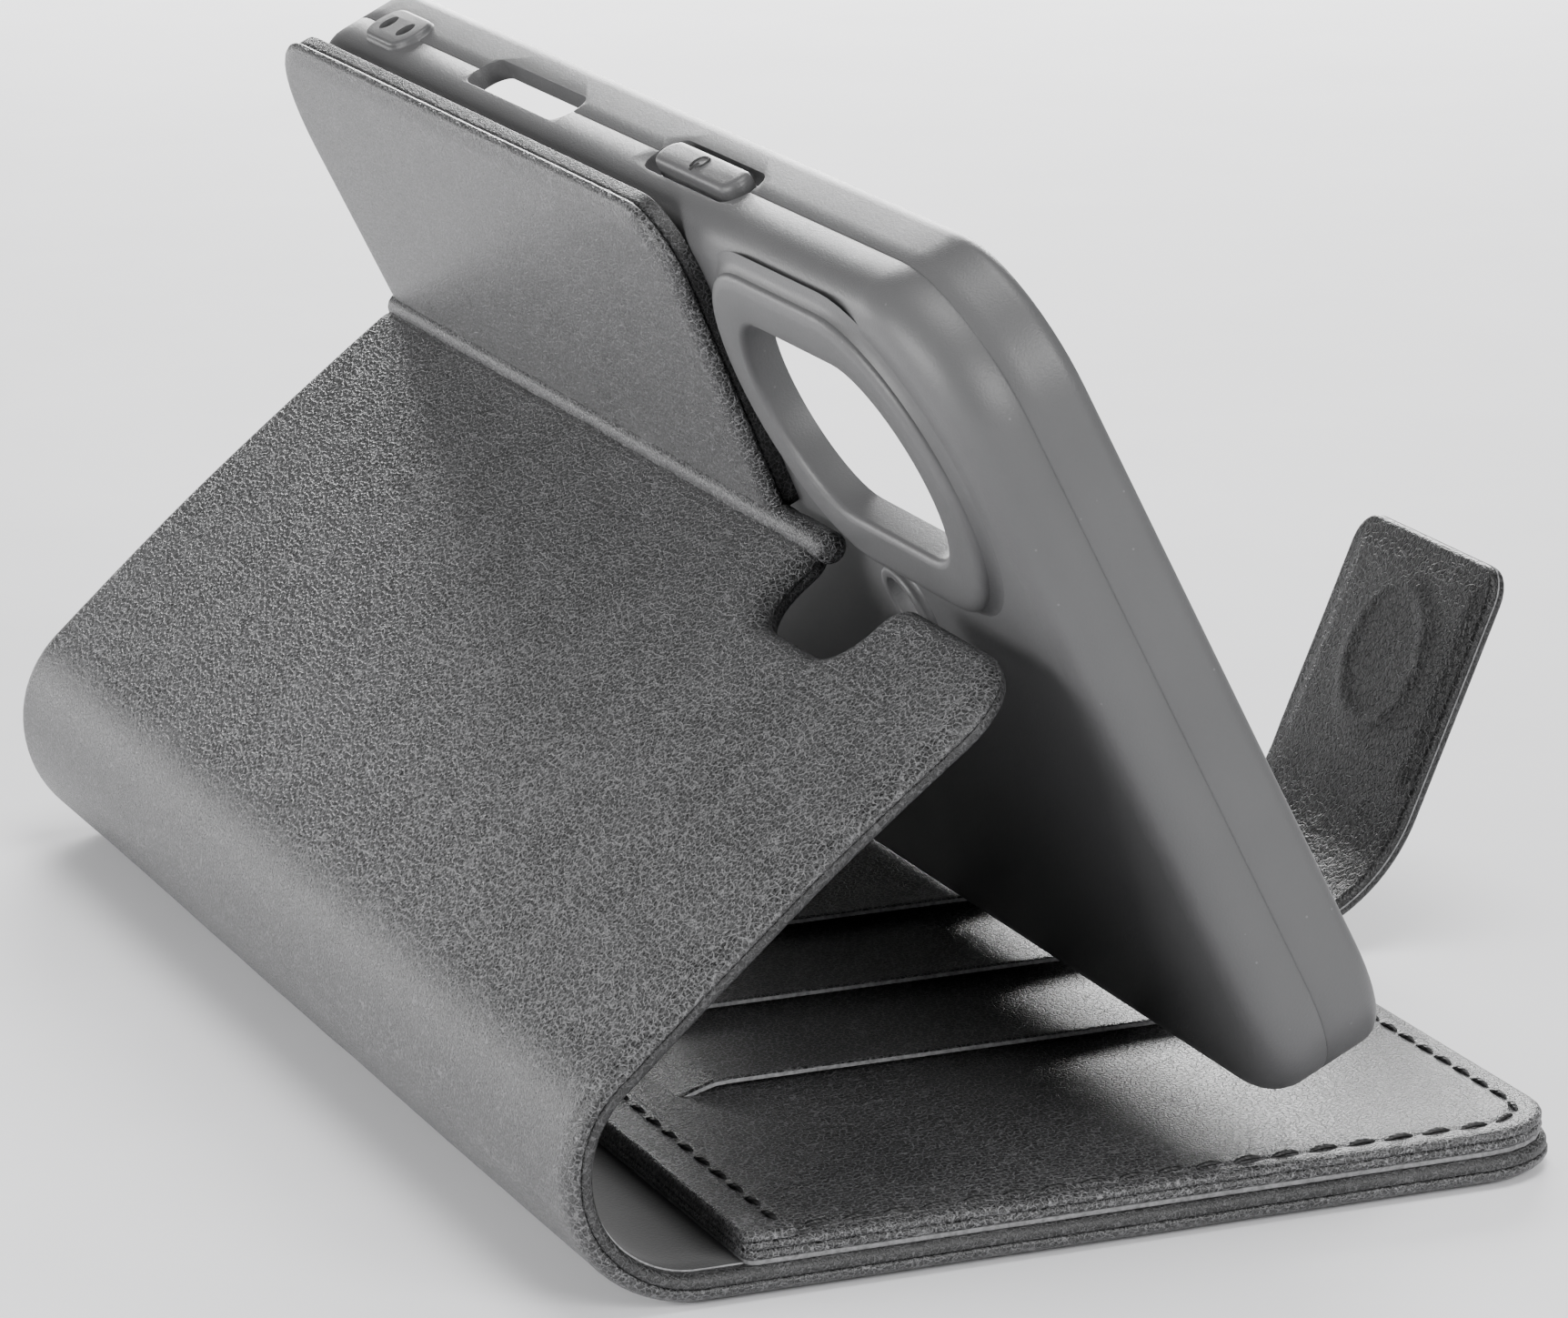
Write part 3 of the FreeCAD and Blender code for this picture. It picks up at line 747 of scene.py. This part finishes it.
def strap():
    """Two-layer closing strap, embossed by the magnet inside its tip."""
    end = STRAP_S + STRAP_TIP_LEN
    magnet = Vector((end - MAGNET_R - 4.0, COVER_LEN / 2, 0))
    split = STRAP_S * 0.5
    start = -STRAP_TUCK
    points = [(start, STRAP_Y0, 0.8), (end, STRAP_Y0, 3.0), (end, STRAP_Y1, 3.0), (start, STRAP_Y1, 0.8)]

    def emboss(co):
        """Ring over the magnet, on a slightly raised stiffener plate, and crinkles in the bend."""
        r = (Vector((co.x, co.y, 0)) - magnet).length
        plate = min(ramp(co.x, STRAP_S + 1.0, STRAP_S + 3.2), 1 - ramp(co.x, end - 2.6, end - 1.4))
        near = ramp(co.y, STRAP_Y0 + 1.4, STRAP_Y0 + 2.6)
        far = 1 - ramp(co.y, STRAP_Y1 - 2.6, STRAP_Y1 - 1.4)
        ridge = 0.22 * plate * near * far + 0.30 * math.exp(-((r - MAGNET_R + 0.6) / 0.7) ** 2)
        bend = 1 - ramp(co.x, STRAP_S - 2, STRAP_S + 3)
        crinkle = 0.16 * noise.noise(Vector((co.x / 1.3, co.y / 4.0, 2.0))) * bend
        lift = (ridge + crinkle) * ramp(co.z, 0.3, STRAP_LAYER_T) + 0.5 * wave(co.x, co.y)
        return on_strap(co + Vector((0, 0, lift)))

    layers = (("outer", -STRAP_LAYER_T, 0.0, 0.45, 0.12, 0.0),
              ("inner", 0.0, STRAP_LAYER_T, 0.12, 0.45, 0.0),
              ("seam", -0.07, 0.07, 0.03, 0.03, -0.05))
    for name, z0, z1, low, high, inset in layers:
        for side, half in ((-1, "root"), (1, "tip")):
            bm = slab(points, rounded(z0, z1, low, high, inset=inset), steps=6)
            slice_up(bm, 0, spaced(start, end, 0.75))
            slice_up(bm, 1, spaced(STRAP_Y0, STRAP_Y1, 0.75))
            keep_side(bm, 0, split, side)
            move(bm, emboss)
            material = WELT_EDGE if name == "seam" else STRAP_LEATHER
            made = piece(f"strap_{half}_{name}_layer", bm, COVER, material)
            if side < 0:
                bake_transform(made)
            else:
                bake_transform(made)
            if name != "seam":
                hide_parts(f"strap_{half}_{name}")
            if name == "outer":
                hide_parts("strap_hinge_bead" if side < 0 else "strap_knee_bead")


# ---------------------------------------------------------------- shell

def pill_points(x, y, length, width):
    """Rounded slot outline, long along Y."""
    r = width / 2 - 0.001
    a, b = width / 2, length / 2
    return [(x - a, y - b, r), (x + a, y - b, r), (x + a, y + b, r), (x - a, y + b, r)]


def shell_xy(at):
    """Place on the shell's back, from its near end and down from its upper wall."""
    return SHELL_TOP - at[1], SHELL_NEAR_Y + at[0]


def cutter(points, z0, z1, place, steps=10):
    bm = slab(points, [(0, z0), (0, z1)], steps=steps)
    return piece("cutter", bm, place)


def carve(made, cutters):
    """Cut openings through a piece with exact booleans, then drop the cutters."""
    for other in cutters:
        modifier = made.modifiers.new("carve", "BOOLEAN")
        modifier.operation = "DIFFERENCE"
        modifier.solver = "EXACT"
        modifier.object = other
    bpy.context.view_layer.update()
    graph = bpy.context.evaluated_depsgraph_get()
    mesh = bpy.data.meshes.new_from_object(made.evaluated_get(graph))
    made.modifiers.clear()
    made.data = mesh
    for other in cutters:
        bpy.data.objects.remove(other)


def soften_rims(made, place, outlines, height, offset):
    """Round the rims of openings: edges near given outlines, at one height of a local frame."""
    back = place.inverted()
    bm = bmesh.new()
    bm.from_mesh(made.data)
    rims = []
    for e in bm.edges:
        ends = [back @ v.co for v in e.verts]
        if any(abs(p.z - height) > 0.05 for p in ends):
            continue
        if any(all(inside_by(p, o, 0.06) for p in ends) for o in outlines):
            rims.append(e)
    bmesh.ops.bevel(bm, geom=rims, offset=offset * MM, segments=3, profile=0.5, affect="EDGES",
                    clamp_overlap=True)
    bm.to_mesh(made.data)
    bm.free()


def inside_by(p, pill, slack):
    """Whether a point lies on the outline of a pill given as (x, y, length, width)."""
    x, y, length, width = pill
    run = max(abs(p.y - y) - (length - width) / 2, 0)
    return abs(math.hypot(p.x - x, run) - width / 2) < slack


def shell_outline():
    r = SHELL_CORNER_R
    return [(SHELL_BOTTOM, SHELL_NEAR_Y, r), (SHELL_TOP, SHELL_NEAR_Y, r),
            (SHELL_TOP, SHELL_FAR_Y, r), (SHELL_BOTTOM, SHELL_FAR_Y, r)]


def wall_rows():
    """(inset, height) rows from the inner floor, down the inside, round the lip and up the outer wall."""
    floor = SHELL_BACK - SHELL_BACK_T
    lip_in = SHELL_WALL + SHELL_LIP_IN
    rows = [(SHELL_WALL + 0.8, floor), (SHELL_WALL + 0.25, floor - 0.2), (SHELL_WALL, floor - 0.8)]
    rows += [(SHELL_WALL, SHELL_LIP + SHELL_LIP_T + 0.5), (SHELL_WALL + 0.15, SHELL_LIP + SHELL_LIP_T + 0.12),
             (lip_in - 0.25, SHELL_LIP + SHELL_LIP_T - 0.05), (lip_in, SHELL_LIP + SHELL_LIP_T - 0.3),
             (lip_in, SHELL_LIP + 0.45), (lip_in - 0.13, SHELL_LIP + 0.13), (lip_in - 0.45, SHELL_LIP)]
    for k in range(7):
        a = math.pi / 2 * k / 6
        rows.append((1.3 * (1 - math.sin(a)), SHELL_LIP + 1.5 * (1 - math.cos(a))))
    line = SHELL_BACK - WALL_FEATURE_DEPTH
    rows += [(0, line - 1.6), (0, line - 0.14), (0.09, line), (0, line + 0.14)]
    for k in range(9):
        a = math.pi / 2 * k / 8
        rows.append((BACK_ROUND * (1 - math.cos(a)), SHELL_BACK - BACK_ROUND * (1 - math.sin(a))))
    return rows


def shell():
    bm = slab(shell_outline(), wall_rows(), steps=14)
    slice_up(bm, 0, spaced(SHELL_BOTTOM + 12, SHELL_TOP - 12, 6))
    slice_up(bm, 1, spaced(SHELL_NEAR_Y + 12, SHELL_FAR_Y - 12, 6))
    body = piece("phone_shell_body", bm, SHELL, RUBBER)
    button = (WALL_FEATURE_DEPTH, BUTTON_AT, *BUTTON_SLOT)
    control = (WALL_FEATURE_DEPTH, CONTROL_AT, *CONTROL_SIZE)
    x, y = shell_xy(CAMERA_AT)
    lens = pill_points(x, y, CAMERA_SIZE[0] + 0.8, CAMERA_SIZE[1] + 0.8)
    x, y = shell_xy(FLASH_AT)
    flash = pill_points(x, y, FLASH_R * 2 + 0.6, FLASH_R * 2 + 0.6)
    cutters = [cutter(pill_points(*button), -3, 1, WALL),
               cutter(pill_points(*control), -3, 1, WALL),
               cutter(lens, SHELL_BACK - 3, SHELL_BACK + 1, SHELL),
               cutter(flash, SHELL_BACK - 3, SHELL_BACK + 1, SHELL)]
    cutters += lanyard_cutters()
    carve(body, cutters)
    soften_rims(body, WALL, [button, control], 0, 0.4)
    smooth(body.data, 40)
    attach(body, "shell")
    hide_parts("phone_shell")


def lanyard_cutters():
    made = []
    for side in (-0.5, 0.5):
        y = LANYARD_AT + side * LANYARD_PITCH
        made.append(cutter(pill_points(WALL_FEATURE_DEPTH, y, 2 * LANYARD_R, 2 * LANYARD_R), -3, 1.5, WALL))
    return made


def frame_rows(outer, inner, z0, z1, foot, crest, throat, depth):
    """Rows of a raised frame: flared foot, rounded crest, rounded throat, and its wall through the shell."""
    rise = z1 - z0
    rows = [(outer, -foot, z0 - 0.12), (outer, -foot * 0.55, z0 + 0.02),
            (outer, -foot * 0.2, z0 + rise * 0.22), (outer, 0, z0 + rise * 0.5)]
    for k in range(5):
        a = math.pi / 2 * k / 4
        rows.append((outer, crest * (1 - math.cos(a)), z1 - rise * 0.45 * (1 - math.sin(a))))
    for k in range(5):
        a = math.pi / 2 * k / 4
        rows.append((inner, -throat * (1 - math.sin(a)), z1 - throat * (1 - math.cos(a))))
    rows += [(inner, 0, z0 - depth), (inner, -0.45, z0 - depth)]
    return rows


def raised_frames():
    x, y = shell_xy(CAMERA_AT)
    rows = frame_rows(pill_points(x, y, *GUARD_SIZE), pill_points(x, y, *CAMERA_SIZE), SHELL_BACK,
                      SHELL_BACK + GUARD_H, 1.5, 1.3, 0.7, SHELL_BACK_T)
    guard = piece("camera_guard_frame", stack(rows, closed=True, steps=12), SHELL, RUBBER)
    x, y = shell_xy(FLASH_AT)
    outer = pill_points(x, y, 2 * FLASH_GUARD_R, 2 * FLASH_GUARD_R)
    inner = pill_points(x, y, 2 * FLASH_R, 2 * FLASH_R)
    rows = frame_rows(outer, inner, SHELL_BACK, SHELL_BACK + FLASH_GUARD_H, 0.35, 0.3, 0.25, SHELL_BACK_T)
    ring_piece = piece("flash_ring", stack(rows, closed=True, steps=8), SHELL, RUBBER)
    plate = pill_points(WALL_FEATURE_DEPTH, LANYARD_AT, *LANYARD_PLATE)
    bm = slab(plate, [(-0.3, -0.1), (-0.12, 0.03)] + rounded(0.2, LANYARD_PLATE_H, 0.0, 0.4), steps=8)
    boss = piece("lanyard_plate", bm, WALL, RUBBER)
    carve(boss, lanyard_cutters())
    smooth(boss.data, 40)
    for made, node in ((guard, "camera_guard"), (ring_piece, "flash_guard"), (boss, "lanyard_boss")):
        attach(made, "shell")
        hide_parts(node)


def tube(bm, line, r, sides=8):
    """Thin round bar through points, closed at its ends."""
    rows = []
    for i, p in enumerate(line):
        ahead = (line[min(i + 1, len(line) - 1)] - line[max(i - 1, 0)]).normalized()
        side = ahead.cross(Vector((0, 0, 1))).normalized()
        turns = [k / sides * math.tau for k in range(sides)]
        rows.append([bm.verts.new(p + side * (math.cos(a) * r) + Vector((0, 0, math.sin(a) * r)))
                     for a in turns])
    for a, b in zip(rows, rows[1:]):
        for k in range(sides):
            n = (k + 1) % sides
            bm.faces.new((a[k], a[n], b[n], b[k]))
    bm.faces.new(reversed(rows[0]))
    bm.faces.new(rows[-1])
    bmesh.ops.recalc_face_normals(bm, faces=bm.faces[:])


def power_button():
    """Floating button with a generic power sign."""
    points = pill_points(WALL_FEATURE_DEPTH, BUTTON_AT, *BUTTON_SIZE)
    rows = rounded(BUTTON_PROUD - BUTTON_T, BUTTON_PROUD, 0.2, 0.6) + [(0.9, BUTTON_PROUD + 0.04)]
    button = piece("power_button_cap", slab(points, rows, steps=8), WALL, RUBBER)
    bm = bmesh.new()
    z = BUTTON_PROUD + 0.03
    arc = [Vector((WALL_FEATURE_DEPTH + 0.8 * math.cos(a), BUTTON_AT + 0.95 * math.sin(a), z))
           for a in (math.radians(215 + 290 * k / 20) for k in range(21))]
    tube(bm, arc, POWER_SIGN_R)
    bar = [Vector((WALL_FEATURE_DEPTH - reach, BUTTON_AT, z)) for reach in (1.05, 0.1)]
    tube(bm, bar, POWER_SIGN_R)
    sign = piece("power_sign", bm, WALL, SIGN_RUBBER)
    for made, node in ((button, "power_button"), (sign, "power_button_ring")):
        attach(made, "power_button")
        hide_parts(node)


# ---------------------------------------------------------------- studio

def camera():
    """Camera at the photograph's angle."""
    at = Vector((-0.21692, -0.5553, 0.18252))
    target = Vector((-0.002636, -0.0055, 0.030524))
    roll = -0.02
    ahead = (target - at).normalized()
    right = ahead.cross(Vector((0, 0, 1))).normalized()
    up = right.cross(ahead)
    right, up = math.cos(roll) * right + math.sin(roll) * up, math.cos(roll) * up - math.sin(roll) * right
    data = bpy.data.cameras.new("camera")
    data.lens = 164.0
    data.sensor_width = 36.0
    data.clip_start = 0.01
    made = bpy.data.objects.new("camera", data)
    bpy.context.scene.collection.objects.link(made)
    turn = Matrix((right, up, -ahead)).transposed().to_4x4()
    made.matrix_world = Matrix.Translation(at) @ turn
    bpy.context.scene.camera = made


def softbox(name, at, target, size, power):
    data = bpy.data.lights.new(name, "AREA")
    data.shape = "RECTANGLE"
    data.size, data.size_y = size
    data.energy = power
    made = bpy.data.objects.new(name, data)
    bpy.context.scene.collection.objects.link(made)
    made.location = at
    made.rotation_euler = (Vector(target) - Vector(at)).to_track_quat("-Z", "Y").to_euler()


def studio():
    """Pale floor, soft lights and a pale surround."""
    bm = bmesh.new()
    corners = [(-1.6, -1.6), (1.6, -1.6), (1.6, 1.6), (-1.6, 1.6)]
    bm.faces.new([bm.verts.new((x, y, -0.0002)) for x, y in corners])
    bmesh.ops.subdivide_edges(bm, edges=bm.edges[:], cuts=8, use_grid_fill=True)
    s = Shader("floor", Roughness=0.75)
    s.colour(s.noise(30.0), [(0.3, 0.88), (0.7, 0.92)])
    piece("floor", bm, Matrix.Identity(4), s.material)
    middle = (0.0, 0.0, 0.03)
    softbox("left", (-0.42, -0.05, 0.12), middle, (0.35, 0.15), 2.1)
    softbox("top", (0.05, -0.10, 0.95), middle, (0.5, 0.5), 6.5)
    softbox("back_left", (-0.42, 0.80, 0.06), middle, (0.45, 0.11), 1.3)
    softbox("back_right", (0.38, 0.85, 0.30), (0.04, -0.06, 0.0), (0.5, 0.3), 12.0)
    softbox("front", (0.22, -0.75, 0.40), middle, (0.5, 0.35), 6.5)
    world = bpy.data.worlds.new("surround")
    world.use_nodes = True
    background = world.node_tree.nodes["Background"]
    background.inputs[0].default_value = (1, 1, 1, 1)
    background.inputs[1].default_value = 0.24
    bpy.context.scene.world = world


camera()
boards()
fold()
strip()
pocket_panel()
pockets()
hem()
sewing()
strap()
shell()
raised_frames()
power_button()
studio()
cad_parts["strap_magnet"].data.materials.clear()
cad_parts["strap_magnet"].data.materials.append(STEEL)
